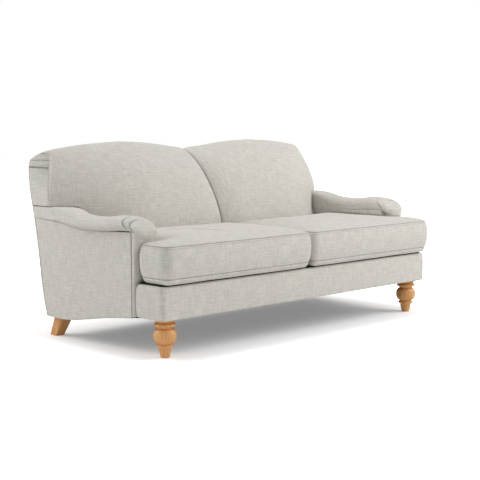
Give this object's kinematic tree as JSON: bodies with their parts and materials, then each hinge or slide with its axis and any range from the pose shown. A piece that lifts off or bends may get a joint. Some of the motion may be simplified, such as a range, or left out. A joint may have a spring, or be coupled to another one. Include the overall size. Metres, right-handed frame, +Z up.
{
  "type": "sofa",
  "caption": "English roll arm sofa with a two-hump tight back, low rolled arms, loose seat cushions that come round the arms, turned front feet and raked rear feet.",
  "frame": {"origin": "on the floor under the middle of the sofa's box", "axes": "+X to the sofa's right seen from the front, -Y towards the front, +Z up"},
  "size_m": [1.89, 0.99, 0.9],
  "materials": {
    "linen": "slub linen weave, warm pale grey, matt",
    "lining": "plain black lining cloth, matt",
    "frame_timber": "planed beech, bare",
    "foot_timber": "oiled oak, satin",
    "steel": "plain drawn steel"
  },
  "bodies": {
    "sofa": {"front_rail": "frame_timber", "rear_rail": "frame_timber", "cross_rail": "frame_timber", "side_rail_left": "frame_timber", "side_rail_right": "frame_timber", "ear_block_left": "frame_timber", "ear_block_right": "frame_timber", "arm_post_left": "frame_timber", "arm_post_right": "frame_timber", "arm_rail_left": "frame_timber", "arm_rail_right": "frame_timber", "arm_tack_rail_left": "frame_timber", "arm_tack_rail_right": "frame_timber", "back_post_left": "frame_timber", "back_post_right": "frame_timber", "back_centre_post": "frame_timber", "back_top_rail": "frame_timber", "back_lower_rail": "frame_timber", "front_corner_block_left": "frame_timber", "front_corner_block_right": "frame_timber", "rear_corner_block_left": "frame_timber", "rear_corner_block_right": "frame_timber", "spring_strip_front": "steel", "spring_strip_rear": "steel", "seat_spring_1": "steel", "seat_spring_2": "steel", "seat_spring_3": "steel", "seat_spring_4": "steel", "seat_spring_5": "steel", "seat_spring_6": "steel", "seat_spring_7": "steel", "seat_spring_8": "steel", "front_foot_bolt_left": "steel", "front_foot_bolt_right": "steel", "rear_foot_bolt_left": "steel", "rear_foot_bolt_right": "steel", "seat_border": "linen", "outer_arm_panel_left": "linen", "outer_arm_panel_right": "linen", "inner_arm_panel_left": "linen", "inner_arm_panel_right": "linen", "arm_roll_left": "linen", "arm_roll_right": "linen", "arm_facing_left": "linen", "arm_facing_right": "linen", "back_pad_left": "linen", "back_pad_right": "linen", "back_end_panel_left": "linen", "back_end_panel_right": "linen", "back_outer_panel": "linen", "seat_deck": "lining", "dust_cover": "lining", "front_foot_left": "foot_timber", "front_foot_right": "foot_timber", "rear_foot_left": "foot_timber", "rear_foot_right": "foot_timber"},
    "left_cushion": {"seat_cushion_left": "linen"},
    "right_cushion": {"seat_cushion_right": "linen"}
  },
  "joints": [
    {"name": "left_cushion_slide", "type": "slide", "parent": "sofa", "child": "left_cushion", "axis": [0, -1, 0], "range_m": [0, 0.5]},
    {"name": "right_cushion_slide", "type": "slide", "parent": "sofa", "child": "right_cushion", "axis": [0, -1, 0], "range_m": [0, 0.5]}
  ]
}
